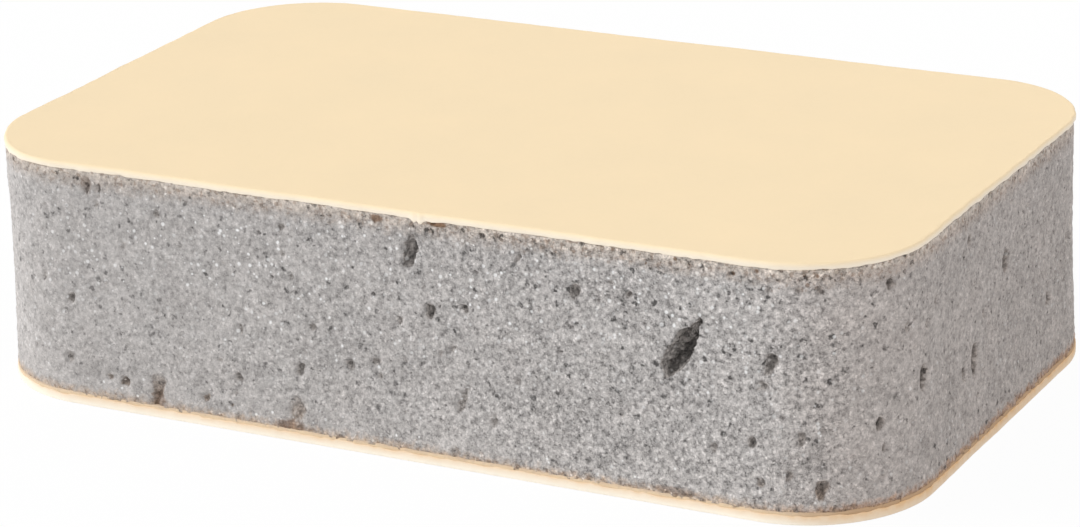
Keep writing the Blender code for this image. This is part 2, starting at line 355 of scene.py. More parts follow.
class Finish(Nodes):
    """A procedural material, with its patterns sized in millimetres."""

    def __init__(self, name):
        self.material = bpy.data.materials.new(name)
        super().__init__(self.material)
        self.shader = self.tree.nodes["Principled BSDF"]
        self.millimetres = self.scaled(self.node("ShaderNodeTexCoord").outputs["Object"], 1 / MM)

    def noise(self, size, detail=2.0, roughness=0.5, distortion=0.0, output="Fac"):
        """Noise from 0 to 1 whose lumps are about size millimetres wide."""
        made = self.node("ShaderNodeTexNoise")
        self.link(self.millimetres, made.inputs["Vector"])
        for name, value in (("Scale", 1 / size), ("Detail", detail), ("Roughness", roughness)):
            made.inputs[name].default_value = value
        made.inputs["Distortion"].default_value = distortion
        return made.outputs[output]

    def warped(self, size, amount):
        """Place in millimetres, shifted up to about amount by noise."""
        centred = self.node("ShaderNodeVectorMath", operation="SUBTRACT")
        self.link(self.noise(size, output="Color"), centred.inputs[0])
        centred.inputs[1].default_value = (0.5, 0.5, 0.5)
        shifted = self.node("ShaderNodeVectorMath", operation="MULTIPLY_ADD")
        self.link(centred.outputs[0], shifted.inputs[0])
        shifted.inputs[1].default_value = (4 * amount,) * 3
        self.link(self.millimetres, shifted.inputs[2])
        return shifted.outputs[0]

    def cells(self, size, vector):
        """Cells about size millimetres wide, as a Voronoi node."""
        made = self.node("ShaderNodeTexVoronoi")
        self.link(vector, made.inputs["Vector"])
        made.inputs["Scale"].default_value = 1 / size
        return made

    def dots(self, size, radius, least, vector):
        """Round dots from 0 to 1 in cells of one size. Their radius in cells and their strength go by chance.

        The strength runs from least to 1, and a dot below 0 is left out."""
        cell = self.cells(size, vector)
        chance = self.node("ShaderNodeSeparateColor")
        self.link(cell.outputs["Color"], chance.inputs[0])
        reach = self.ramp(chance.outputs["Red"], 0.0, 1.0, *radius)
        dot = self.ramp(cell.outputs["Distance"], self.times(reach, 0.5), reach, 1.0, 0.0)
        strength = self.math("MAXIMUM", self.ramp(chance.outputs["Green"], 0.0, 1.0, least, 1.0), 0.0)
        return self.times(dot, strength)

    def mix(self, share, first, second, blend="MIX"):
        """Mix two colours."""
        made = self.node("ShaderNodeMix", data_type="RGBA", blend_type=blend)
        self.feed(made.inputs[0], share)
        for socket, colour in ((made.inputs[6], first), (made.inputs[7], second)):
            self.feed(socket, colour if isinstance(colour, bpy.types.NodeSocket) else (*colour[:3], 1.0))
        return made.outputs[2]

    def scaled(self, vector, factor):
        """Multiply a place or a colour by a number."""
        made = self.node("ShaderNodeVectorMath", operation="SCALE")
        self.feed(made.inputs[0], vector)
        self.feed(made.inputs["Scale"], factor)
        return made.outputs[0]

    def waver(self, value, noise, amount):
        """Add noise about its middle, times amount, to a value."""
        return self.plus(value, self.times(self.math("SUBTRACT", noise, 0.5), amount))

    def tint(self, share, colour, dye):
        """Multiply a colour by a dye, as far as share says."""
        return self.mix(share, colour, self.mix(1.0, colour, dye, blend="MULTIPLY"))

    def attribute(self, name):
        """Number that each point of the mesh holds under a name."""
        return self.node("ShaderNodeAttribute", attribute_name=name).outputs["Fac"]

    def axis(self, name):
        """Place along X, Y or Z in millimetres."""
        made = self.node("ShaderNodeSeparateXYZ")
        self.link(self.millimetres, made.inputs[0])
        return made.outputs[name]

    def along(self, stretch, at_left, at_right):
        """Number that goes from one value to another over a stretch of X in millimetres."""
        return self.ramp(self.axis("X"), *stretch, at_left, at_right)

    def patch(self, centre, half, ragged=0.8):
        """Ragged patch from 0 to 1 on the front, from its centre and half sizes along X and Z."""
        squares = []
        for name, middle, size in zip("XZ", centre, half):
            offset = self.math("DIVIDE", self.math("SUBTRACT", self.axis(name), middle), size)
            squares.append(self.times(offset, offset))
        apart = self.waver(self.math("SQRT", self.plus(*squares)), self.noise(0.5, detail=3.0), ragged)
        front = self.ramp(self.axis("Y"), *BEHIND_FRONT, 1.0, 0.0)
        return self.times(self.ramp(apart, 0.6, 1.15, 1.0, 0.0), front)

    def bump(self, height, depth, strength):
        """Bump the surface by height from 0 to 1, depth in metres."""
        made = self.node("ShaderNodeBump")
        self.link(height, made.inputs["Height"])
        made.inputs["Distance"].default_value = depth
        made.inputs["Strength"].default_value = strength
        self.link(made.outputs["Normal"], self.shader.inputs["Normal"])

    def done(self, colour, roughness, specular):
        """Set the shader's colour and shine, and hand over the material."""
        self.feed(self.shader.inputs["Base Color"], colour)
        self.shader.inputs["Roughness"].default_value = roughness
        self.shader.inputs["Specular IOR Level"].default_value = specular
        return self.material


def foam_tone(finish, sizes):
    """Brightness of the foam's cut cells about 1, with painted light and shade along the block, pale grains,
    dark mouths of painted shade, and their relief.
    """
    cell = sizes.cell_size / MM
    torn = finish.warped(cell, cell * 0.35)
    bent = finish.warped(cell * 1.6, cell * 0.6)
    fine = finish.times(finish.along(SHARPER_RIGHT, 0.68, 1.3), finish.along(BLURRED_END, 1.0, 0.55))
    coarse = finish.times(finish.along(SHARPER_RIGHT, 1.0, 1.3), finish.along(BLURRED_END, 1.0, 0.9))
    # Painted light and shade along the block: brighter from left to right, a painted rim light at the left
    # end and towards the back wall, and painted shade at the right-hand end.
    tone = finish.plus(
        finish.along(WHOLE_FRONT, 1.155, 1.26),
        finish.along(LEFT_END, 0.27, 0.0),
        finish.along(DARK_END, 0.0, -0.12),
        finish.ramp(finish.axis("Y"), *TO_THE_BACK, 0.0, 0.3),
    )
    tone = finish.waver(tone, finish.noise(7.0, detail=3.0), 0.3)
    tone = finish.waver(tone, finish.noise(cell * 4, detail=1.5), 0.45)
    grain = finish.waver(0.0, finish.noise(cell * 1.4, detail=3.0, roughness=0.9), sizes.grain)
    pale = finish.dots(cell * 0.9, (0.35, 0.7), -0.6, torn)
    grain = finish.waver(grain, pale, 0.45)
    tone = finish.plus(tone, finish.times(grain, fine))
    # Dark cell mouths: painted shade inside the open cells.
    darkness = finish.times(coarse, sizes.pore_darkness)
    for size, radius, least, share in CELL_MOUTHS:
        mouth = finish.dots(cell * size, radius, least, torn if size < 2 else bent)
        tone = finish.math("SUBTRACT", tone, finish.times(darkness, share, mouth))
    return tone, pale


def pit_lining(finish, sizes):
    """Where the wall is hollow, from 0 to 1, the painted shade in its pits as the light they keep, and how
    uneven their lining is, darkened by a painted shadow at each pit's foot.
    """
    torn_rim = finish.waver(finish.attribute("pit_depth"), finish.noise(0.45), 0.8)
    hollow = finish.ramp(torn_rim, *PIT_RIM)
    light = finish.ramp(torn_rim, *PIT_RIM, 1.0, sizes.pit_shade)
    lining = finish.waver(1.0, finish.noise(0.5, detail=3.0), finish.times(hollow, 2.4))
    # Painted shadow along the lower, right-hand foot of each pit.
    foot_shade = finish.ramp(finish.attribute("pit_foot"), 0.4, 1.4, 1.0, 0.5)
    return hollow, light, finish.times(lining, foot_shade)


def glint(finish, sizes, light):
    """Glinting specks from 0 to 1, in crowds, fewer at both ends of the sponge and dimmer in its pits."""
    crowd = finish.ramp(finish.noise(4.5, detail=1.0), 0.38, 0.62, 0.3, 1.0)
    crowd = finish.times(crowd, finish.along(DULL_END, 1.0, 0.35), finish.along(SPARSE_LEFT, 0.45, 1.0))
    speck = finish.dots(sizes.cell_size / MM * 1.6, (0.18, 0.4), -0.8, finish.millimetres)
    return finish.times(speck, crowd, light, sizes.glint)


def soaked(finish, sizes, colour, tone, hollow, far_end):
    """The foam's colour with the adhesive taken up at both bonds, and crumbs of it under the upper cloth."""
    ragged = finish.noise(0.9, detail=4.0)
    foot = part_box("lower_bond_film")[1].z / MM
    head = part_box("upper_bond_film")[0].z / MM
    above = finish.waver(finish.math("SUBTRACT", finish.axis("Z"), foot), ragged, 2.6)
    below = finish.waver(finish.math("SUBTRACT", head, finish.axis("Z")), ragged, 2.6)
    seep = finish.times(finish.ramp(above, *SEEP_REACH, sizes.stain, 0.0), hollow)
    colour = finish.tint(seep, colour, sizes.seep_colour)
    low_stain = finish.ramp(above, *LOWER_STAIN_REACH, sizes.stain, 0.0)
    low_dye = finish.mix(far_end, sizes.stain_colour, sizes.end_stain_colour)
    colour = finish.tint(low_stain, colour, low_dye)
    high_stain = finish.ramp(below, *UPPER_STAIN_REACH, sizes.stain, 0.0)
    # At the right-hand end the upper tint is partly adhesive and partly painted light that brightens the
    # foam.
    high_dye = finish.mix(far_end, sizes.upper_stain_colour, sizes.upper_end_stain_and_light_colour)
    colour = finish.tint(high_stain, colour, high_dye)
    high_wet = finish.ramp(below, *UPPER_WET_REACH, 0.75, 0.0)
    colour = finish.mix(high_wet, colour, finish.scaled(sizes.upper_wet_colour, tone))
    low_wet = finish.ramp(above, *LOWER_WET_REACH, 0.85, 0.0)
    wet_colour = finish.mix(far_end, sizes.wet_colour, sizes.end_wet_colour)
    colour = finish.mix(low_wet, colour, finish.scaled(wet_colour, tone))
    speck = finish.ramp(finish.noise(0.6), 0.36, 0.48, 1.0, 0.0)
    specks = finish.times(finish.math("MAXIMUM", low_stain, high_stain), 0.6, speck)
    colour = finish.tint(specks, colour, sizes.speck_colour)
    share = finish.times(finish.ramp(below, *CRUMB_REACH, 1.0, 0.0), finish.along(CRUMBLY_RIGHT, 0.25, 1.0))
    share = finish.times(share, finish.along(CLEAN_END, 1.0, 0.2))
    crumb = finish.dots(sizes.cell_size / MM * 1.4, (0.2, 0.55), -0.3, finish.millimetres)
    return finish.tint(finish.times(crumb, share), colour, sizes.speck_colour)


def foam_finish(sizes):
    """Grey foam: cut cells, glinting specks, painted light and shade that darkens the pit linings, and
    adhesive soaked in at both bonds.
    """
    finish = Finish("grey_open_cell_foam")
    tone, relief = foam_tone(finish, sizes)
    hollow, light, lining = pit_lining(finish, sizes)
    # Painted shade in the pits, and at their feet, darkens the tone.
    tone = finish.times(finish.math("MAXIMUM", tone, 0.2), finish.times(light, lining))
    far_end = finish.along(WARM_END, 0.0, 1.0)
    colour = finish.mix(finish.noise(5.0, detail=3.0), sizes.colour, sizes.warm_colour)
    # The end tint paints warm light on the foam towards its right-hand end.
    colour = finish.scaled(finish.tint(far_end, colour, sizes.end_warm_light), tone)
    colour = finish.tint(hollow, colour, sizes.pit_colour)
    colour = finish.mix(glint(finish, sizes, light), colour, sizes.glint_colour)
    colour = soaked(finish, sizes, colour, tone, hollow, far_end)
    for centre, half, share in ADHESIVE_MARKS:
        colour = finish.tint(finish.times(finish.patch(centre, half), share), colour, sizes.mark_colour)
    finish.bump(relief, 0.10 * MM, 0.7)
    return finish.done(colour, 0.85, 0.25)


def cloth_finish(name, sizes, cut_colour):
    """Cream nonwoven: faint mottling, matted fibres, and a paler cut edge."""
    finish = Finish(name)
    mottle = finish.noise(12.0, detail=3.0)
    felt = finish.noise(0.7, detail=4.0, distortion=1.2)
    fibre = finish.noise(0.16, distortion=2.0)
    tone = 1.0
    for noise, amount in ((mottle, 0.06), (felt, 0.03), (fibre, 0.03)):
        tone = finish.waver(tone, noise, amount)
    face = finish.mix(mottle, sizes.colour, sizes.warm_colour)
    colour = finish.mix(finish.attribute("cut_edge"), face, cut_colour)
    ragged = finish.ramp(finish.noise(1.3, detail=3.0), 0.3, 0.7, 0.75, 1.0)
    colour = finish.tint(finish.times(finish.attribute("glue"), ragged), colour, sizes.glue_colour)
    colour = finish.scaled(colour, tone)
    finish.bump(finish.plus(felt, finish.times(fibre, 0.6)), 0.03 * MM, 0.4)
    finish.shader.inputs["Sheen Weight"].default_value = 0.15
    finish.shader.inputs["Sheen Roughness"].default_value = 0.6
    return finish.done(colour, 0.95, 0.15)


def bond_finish(name, levels, by_cloth, by_foam, thick):
    """Adhesive between two levels, soaked into the cloth at the first and into the foam at the second."""
    finish = Finish(name)
    ragged = finish.noise(0.6, detail=4.0, roughness=0.7)
    share = finish.waver(finish.ramp(finish.axis("Z"), *levels), ragged, 3.0)
    colour = finish.mix(share, by_cloth, by_foam)
    colour = finish.mix(finish.attribute("thickness"), colour, thick)
    finish.bump(finish.noise(0.35, detail=3.0), 0.04 * MM, 0.5)
    return finish.done(colour, 0.6, 0.4)


# Settings


def length_property(name, description, default):
    """Setting that holds a length."""
    return FloatProperty(name=name, description=description, default=default, unit="LENGTH", precision=5)


def share_property(name, description, default):
    """Setting that holds a share, mostly from 0 to 1."""
    return FloatProperty(name=name, description=description, default=default, subtype="FACTOR")


def angle_property(name, description, degrees):
    """Setting that holds an angle."""
    return FloatProperty(name=name, description=description, default=math.radians(degrees), subtype="ANGLE")


def colour_property(name, description, default):
    """Setting that holds a colour."""
    return FloatVectorProperty(name=name, description=description, default=default, subtype="COLOR", size=3)


class FoamSettings(PropertyGroup):
    grid_step: length_property("Grid step", "Spacing of the points that shape the foam's wall", 0.21 * MM)
    triangles: IntProperty(
        name="Triangles", description="Most triangles that the block keeps", default=194000
    )
    cell_size: length_property("Cell size", "Width of a common cell mouth", 0.55 * MM)
    cell_relief: share_property("Cell relief", "Share of a cell's depth that shows in the cut wall", 0.35)
    raggedness: length_property("Raggedness", "How far torn cells shift a pit's rim", 0.26 * MM)
    waist: length_property("Waist", "How far the wall draws in at half height", 0.25 * MM)
    set_back: length_property("Set-back", "How far the foam lies inside the cloths' edges", 0.1 * MM)
    grain: FloatProperty(name="Grain", description="Contrast of the foam's grain", default=2.7)
    # A cell mouth's darkness is painted shade inside the open cell.
    pore_darkness: share_property("Pore darkness", "How dark a deep cell mouth is", 0.6)
    pit_shade: share_property("Pit shade", "Brightness that a pit's lining keeps", 0.74)
    glint: share_property("Glint", "Strength of the glinting specks", 0.9)
    glint_colour: colour_property("Glint colour", "Colour of the glinting specks", (0.97, 0.97, 0.97))
    stain: share_property("Adhesive stain", "Strength of the brown tint beside the bonds", 0.9)
    colour: colour_property("Foam", "Colour of the foam", (0.424, 0.408, 0.400))
    warm_colour: colour_property("Warm foam", "Second colour of the foam", (0.432, 0.406, 0.392))
    # Painted warm light on the foam towards its right-hand end.
    end_warm_light: colour_property("End tint", "Tint of the foam towards its right-hand end", (1.0, 0.955, 0.93))
    pit_colour: colour_property("Pit tint", "Tint of the lining of pits", (1.0, 0.97, 0.94))
    stain_colour: colour_property("Lower stain", "Tint of foam with lower adhesive", (1.08, 0.92, 0.78))
    end_stain_colour: colour_property("Stain at the end", "The same at the right-hand end", (1.0, 0.71, 0.53))
    upper_stain_colour: colour_property(
        "Upper stain", "Tint of foam with upper adhesive", (1.0, 0.925, 0.855)
    )
    # Partly adhesive tint. Above 1 it also brightens the foam under the upper cloth at the right-hand end as
    # painted light.
    upper_end_stain_and_light_colour: colour_property(
        "Upper stain at the end", "The same at the right-hand end", (1.1, 1.02, 0.95)
    )
    wet_colour: colour_property("Wet foam", "Colour of foam full of lower adhesive", (0.56, 0.44, 0.32))
    upper_wet_colour: colour_property(
        "Upper wet foam", "Colour of foam full of upper adhesive", (0.60, 0.535, 0.475)
    )
    end_wet_colour: colour_property(
        "Wet foam at the end", "The same at the right-hand end", (0.42, 0.29, 0.17)
    )
    seep_colour: colour_property("Seeped", "Tint of adhesive seen in pits above the base", (0.86, 0.74, 0.64))
    mark_colour: colour_property(
        "Adhesive marks", "Tint of the brown patches of adhesive", (0.40, 0.28, 0.20)
    )
    speck_colour: colour_property("Specks", "Tint of adhesive specks in the foam", (0.44, 0.34, 0.27))


class ClothSettings(PropertyGroup):
    colour: colour_property("Cloth", "Colour of the cloth's face", (0.93, 0.748, 0.483))
    warm_colour: colour_property("Warm cloth", "Second colour of the face", (0.93, 0.738, 0.470))
    cut_colour: colour_property("Cut edge", "Colour of the cut edge", (0.96, 0.87, 0.73))
    lower_cut_colour: colour_property("Lower cut edge", "Colour of the lower cut edge", (0.96, 0.885, 0.76))
    glue_colour: colour_property("Glued edge", "Tint of cloth soaked with adhesive", (0.82, 0.56, 0.32))
    upper_glue: share_property("Upper glue", "How much adhesive the upper cloth's edge shows", 0.12)
    lower_glue: share_property("Lower glue", "How much adhesive the lower cloth's edge shows", 1.0)
    upper_pressing: length_property("Upper pressing", "How much the bond thins the upper cloth", 0.26 * MM)
    lower_pressing: length_property("Lower pressing", "How much the bond thins the lower cloth", 0.0)
    upper_round: length_property("Upper rounding", "Rounding of the upper cut edge", 0.5 * MM)
    lower_round: length_property("Lower rounding", "Rounding of the lower cut edge", 0.18 * MM)
    upper_waver: length_property("Upper waver", "How far the upper cut edge wanders", 0.15 * MM)
    lower_waver: length_property("Lower waver", "How far the lower cut edge wanders", 0.06 * MM)
    mesh_step: length_property("Mesh step", "Spacing of the points on the cloth's face", 1.3 * MM)


class BondSettings(PropertyGroup):
    colour: colour_property("By the lower cloth", "Lower adhesive next to the cloth", (0.78, 0.60, 0.40))
    foam_colour: colour_property("By the foam", "Lower adhesive next to the foam", (0.64, 0.49, 0.35))
    thick_colour: colour_property("Thick adhesive", "Lower adhesive where it is thick", (0.52, 0.34, 0.20))
    # The upper adhesive's colours are partly its own and partly painted shade under the upper cloth's edge.
    upper_colour: colour_property(
        "By the upper cloth", "Upper adhesive next to the cloth", (0.62, 0.53, 0.45)
    )
    upper_foam_colour: colour_property(
        "Under the upper cloth", "Upper adhesive next to the foam", (0.46, 0.39, 0.33)
    )
    overlap: length_property("Lower overlap", "How far cloth and foam hide the adhesive", 0.15 * MM)
    ooze: length_property("Ooze", "How unevenly the adhesive stands out", 0.05 * MM)
    upper_set_back: length_property("Upper set-back", "How far the adhesive is from the edge", 0.3 * MM)
    lower_set_back: length_property("Lower set-back", "How far the adhesive is from the edge", 0.1 * MM)


class StageSettings(PropertyGroup):
    floor_colour: colour_property("Floor", "Colour of the floor", (0.96, 0.96, 0.96))
    shadow: share_property("Shadow", "How much of the floor's own shading the camera sees", 0.06)
    ambient: FloatProperty(name="Ambient", description="Strength of the light from all sides", default=0.60)
    key: FloatProperty(name="Key", description="Strength of the soft light from the left", default=1.5)
    key_direction: FloatVectorProperty(
        name="Key direction",
        description="Where the soft light comes from",
        default=(-0.4, -0.165, 0.2),
        subtype="DIRECTION",
    )
    fill: FloatProperty(name="Fill", description="Strength of the soft light from above", default=0.72)
    fill_direction: FloatVectorProperty(
        name="Fill direction",
        description="Where the light from above comes from",
        default=(0.08, -0.08, 0.2),
        subtype="DIRECTION",
    )
    softness: angle_property("Softness", "Width of either soft light as the sponge sees it", 50)
    yaw: angle_property("View yaw", "Turn of the camera about the sponge", 28.22)
    pitch: angle_property("View pitch", "How far the camera looks down", 19.68)
    roll: angle_property("View roll", "Tilt of the camera", -1.94)
    place: FloatVectorProperty(
        name="Camera",
        description="Place of the camera",
        default=(0.2398, -0.4472, 0.1948),
        subtype="TRANSLATION",
    )
    lens: FloatProperty(
        name="Lens", description="Focal length on a 36 mm sensor", default=132.1, unit="CAMERA"
    )


def settings(name):
    """One group of the sponge's settings in this scene."""
    return getattr(bpy.context.scene, name)


# Pieces


def upper_joint():
    """Level at which the foam meets the pressed upper cloth."""
    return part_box("upper_cloth")[0].z + settings("sponge_cloth").upper_pressing


def solid_pit_depth(places, inward, reach=1.0 * MM):
    """Depth of the solid foam's pits behind each place on its wall."""
    tree = BVHTree.FromObject(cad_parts["foam_core"], bpy.context.evaluated_depsgraph_get())
    depth = np.zeros(len(places))
    for index, (place, direction) in enumerate(zip(places - inward * reach, inward)):
        distance = tree.ray_cast(Vector(place), Vector(direction), 6 * reach)[3]
        if distance is not None:
            depth[index] = max(distance - reach, 0)
    return depth


def end_pressing(outward):
    """How much more the upper cloth is pressed towards the right-hand end."""
    return END_PRESSING * np.clip(outward[:, 0], 0, 1)


def raised(grid, rows):
    """A wall's grid moved up by a number of rows, its end row repeated."""
    source = np.clip(np.arange(len(grid)) - rows, 0, len(grid) - 1)
    return grid[source]


def blurred(grid):
    """Average each value of a wall's grid with its neighbours, round the wall and up it."""
    across = (np.roll(grid, 1, axis=1) + 2 * grid + np.roll(grid, -1, axis=1)) / 4
    padded = np.pad(across, ((1, 1), (0, 0)), mode="edge")
    return (padded[:-2] + 2 * padded[1:-1] + padded[2:]) / 4


class FoamWall:
    """The foam's wall as a grid of points, before its pits: heights up it and columns round it."""

    def __init__(self, sizes):
        low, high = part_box("foam_core")
        self.low, self.high = low.z, high.z
        self.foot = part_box("lower_bond_film")[0].z - FOOT_OVERLAP
        self.head = upper_joint()
        self.columns = round(OUTLINE.perimeter / sizes.grid_step)
        self.rows = round((self.head - self.foot) / sizes.grid_step) + 1
        heights = np.linspace(self.foot, self.head, self.rows)
        core, outward = OUTLINE.points(self.columns)
        outer = OUTLINE.half_core[0] + OUTLINE.radius
        self.solid_set_back = OUTLINE.spread_at(self.low) + outer - high.x - sizes.set_back
        share = (heights - self.low) / (self.high - self.low)
        waist = sizes.waist * np.clip(1 - (2 * share - 1) ** 2, 0, 1)
        reach = OUTLINE.radius + OUTLINE.spread_at(heights) - sizes.set_back - waist
        flat = core[None] + outward[None] * reach[:, None, None]
        self.places = at_level(flat.reshape(-1, 2), np.repeat(heights, self.columns))
        self.outward = np.tile(at_level(outward, 0), (self.rows, 1))

    def torn_places(self, shift):
        """The wall's points moved about within it, so that what is read there gets a torn rim."""
        sideways = np.stack([-self.outward[:, 1], self.outward[:, 0], self.outward[:, 2]], axis=1)
        torn = self.places - self.outward * self.solid_set_back
        for step, share in ((0.8 * MM, 1.0), (0.35 * MM, 0.5)):
            torn += sideways * (share * shift * soft_noise(self.places, step, 5))[:, None]
            torn[:, 2] += share * shift * soft_noise(self.places, step, 6)
        margin = 0.02 * MM
        torn[:, 2] = np.clip(torn[:, 2], self.low + margin, self.high - margin)
        return torn

    def carve(self, sizes):
        """Depth of pits, cells and grain at each point, with the pits' marks for the finish."""
        inward = -self.outward
        crisp = solid_pit_depth(self.torn_places(sizes.raggedness), inward).reshape(self.rows, self.columns)
        soft = blurred(blurred(crisp))
        nearby = crisp
        for _ in range(VOID_MARGIN):
            beside = (np.roll(nearby, 1, axis=1), np.roll(nearby, -1, axis=1))
            nearby = np.maximum.reduce([nearby, *beside, raised(nearby, 1), raised(nearby, -1)])
        void = np.clip((nearby / MM - VOID_DEPTHS[0]) / (VOID_DEPTHS[1] - VOID_DEPTHS[0]), 0, 1)
        pits = (soft + (crisp - soft) * void).ravel()
        past_foot = raised(np.roll(crisp, -FOOT_STEPS[0], axis=1), FOOT_STEPS[1])
        # From these marks the finish paints shade in the pits, and a shadow at each pit's lower, right-hand
        # foot.
        self.marks = {
            "pit_depth": (crisp * (1 + 1.5 * void)).ravel() / MM,
            "pit_foot": np.maximum(crisp - past_foot, 0).ravel() / MM,
        }
        rough = 1 + 0.4 * soft_noise(self.places, 0.5 * MM, 7)
        common = bubble_depth(self.places, inward, *COMMON_CELLS)
        large = bubble_depth(self.places, inward, *LARGE_CELLS)
        grain = layered_noise(self.places, (0.07 * MM, 0.5 * MM, 9), (0.06 * MM, 4 * MM, 10))
        depth = np.maximum(pits * rough, 0.55 * large) + sizes.cell_relief * common + grain
        return depth * np.clip((self.head - self.places[:, 2]) / PRESSED_BAND, 0.4, 1)

    def frayed(self, points):
        """Points with the rows next to the bonds moved up and down, and the topmost ones with the cloth."""
        near = np.exp(-np.minimum(points[:, 2] - self.foot, self.head - points[:, 2]) / FRAYED_BAND)
        points[:, 2] += FRAY * near * soft_noise(self.places, 0.6 * MM, 11)
        points[:, 2] += end_pressing(self.outward) * np.exp((self.places[:, 2] - self.head) / PRESSED_BAND)
        return points


class SPONGE_OT_foam(Operator):
    """Build the foam block, with the solid's pits and a skin of open cells"""

    bl_idname = "sponge.foam"
    bl_label = "Foam block"

    def execute(self, context):
        sizes = settings("sponge_foam")
        wall = FoamWall(sizes)
        points = wall.frayed(wall.places - wall.outward * wall.carve(sizes)[:, None])
        ends = np.array([[0, 0, wall.foot], [0, 0, wall.head]])
        first = np.arange(wall.columns)
        last = first + (wall.rows - 1) * wall.columns
        hub = wall.rows * wall.columns
        fans = np.concatenate([cap_fan(first, hub, False), cap_fan(last, hub + 1, True)])
        quads = tube_quads(wall.rows, wall.columns)
        piece = mesh_object("foam_block", np.concatenate([points, ends]), quads, fans)
        for name, values in wall.marks.items():
            set_attribute(piece, name, np.concatenate([values, [0, 0]]))
        thin = piece.modifiers.new("thin_out", "DECIMATE")
        thin.ratio = sizes.triangles / (2 * len(quads) + len(fans))
        apply_modifiers(piece)
        piece.data.materials.append(foam_finish(sizes))
        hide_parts("foam_core")
        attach(piece, "root")
        return {"FINISHED"}


def apply_modifiers(piece):
    """Turn a piece's modified shape into its own mesh."""
    graph = bpy.context.evaluated_depsgraph_get()
    made = bpy.data.meshes.new_from_object(piece.evaluated_get(graph))
    old = piece.data
    piece.modifiers.clear()
    piece.data = made
    bpy.data.meshes.remove(old)
    piece.data.name = piece.name
    piece.data.shade_smooth()


class ClothShape:
    """Points of one cloth, face up: rings up its cut edge and over its rim, then a mesh across its face."""

    def __init__(self, sizes, side, seed):
        low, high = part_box(side + "_cloth")
        self.low, self.high = low.z + getattr(sizes, side + "_pressing"), high.z
        self.radius = OUTLINE.radius + OUTLINE.spread_at(low.z)
        self.columns = round(OUTLINE.perimeter / CLOTH_STEP)
        self.core, self.outward = OUTLINE.points(self.columns)
        edge = at_level(self.core + self.outward * self.radius, 0)
        slow = layered_noise(edge, (1.0, 11 * MM, seed), (0.5, 1.7 * MM, seed + 1))
        self.wander = getattr(sizes, side + "_waver") * slow
        self.fray = 0.12 * MM * soft_noise(edge, 0.9 * MM, seed + 4)
        if side == "upper":
            self.add_wisp(edge, seed + 6)
        soak = np.maximum(0.6 + 1.2 * self.outward[:, 0], 0.45) + 0.15 * soft_noise(edge, 6 * MM, seed + 5)
        press = end_pressing(self.outward) if side == "upper" else 0.0
        rounding = getattr(sizes, side + "_round") - press
        glue = getattr(sizes, side + "_glue") * (0.65 + 0.35 * self.outward[:, 0])
        self.points, self.cut, self.glue = [], [], []
        thickness = self.high - self.low
        for inset, level in self.profile(rounding, thickness):
            up = level / thickness
            paleness = np.minimum(1.0, 1.3 * (1 - up)) if side == "upper" else 1.0
            lift = press * (1 - up) + self.fray * (1 - up) ** 2
            self.ring(inset, level + lift, paleness, glue * np.maximum(0, 1 - up / soak))
        for inset in FACE_INSETS:
            self.ring(rounding + inset, thickness, 0.0, 0.0, 1 - (rounding + inset) / WANDER_REACH)
        self.rows = len(self.points)

    def add_wisp(self, edge, seed):
        """Draw the front edge down and out where the wisp of fibres hangs, steep on its left."""
        past = edge[:, 0] - WISP_PLACE
        width = np.where(past < 0, *WISP_WIDTHS)
        on_front = self.outward[:, 1] < -0.9
        wisp = np.exp(-((past / width) ** 2)) * on_front
        wisp *= 0.8 + 0.6 * soft_noise(edge, 0.5 * MM, seed)
        self.fray -= WISP_DROP * wisp
        self.wander += WISP_BULGE * wisp

    def profile(self, rounding, thickness, steps=6):
        """Inset and level of the rings up the cut edge: rounded at the face, nearly sharp at the bond."""
        turn = np.linspace(0, math.pi / 2, steps)
        upright = thickness - rounding
        low = [(0.06 * MM, 0.0), (0.02 * MM, 0.08 * upright), (0.0, 0.3 * upright), (0.0, 0.85 * upright)]
        high = [(rounding * (1 - math.cos(a)), thickness - rounding * (1 - math.sin(a))) for a in turn]
        return low + high

    def ring(self, inset, level, cut, glue, wander=1.0):
        """Add one ring of points round the cloth."""
        flat = self.core + self.outward * (self.radius - inset + wander * self.wander)[:, None]
        self.points.append(at_level(flat, self.low + level))
        self.cut.append(np.broadcast_to(cut, self.columns))
        self.glue.append(np.broadcast_to(glue, self.columns))

    def face(self, step):
        """Points and triangles that fill the last ring."""
        rim = self.points[-1][:, :2]
        half = OUTLINE.half_core + self.radius
        counts = np.floor(2 * half / step).astype(int)
        across, along = np.meshgrid(*[np.linspace(-h, h, n) for h, n in zip(half, counts)])
        inner = np.stack([across.ravel(), along.ravel()], axis=1)
        near = np.clip(inner, -OUTLINE.half_core, OUTLINE.half_core)
        rim_out = np.linalg.norm(rim - self.core, axis=1).min()
        inner = inner[np.linalg.norm(inner - near, axis=1) < rim_out - step / 2]
        both = np.concatenate([rim, inner])
        edges = [(i, (i + 1) % len(rim)) for i in range(len(rim))]
        filled = delaunay_2d_cdt([Vector(p) for p in both], edges, [], 1, 1e-9)
        return inner, np.array(filled[2])


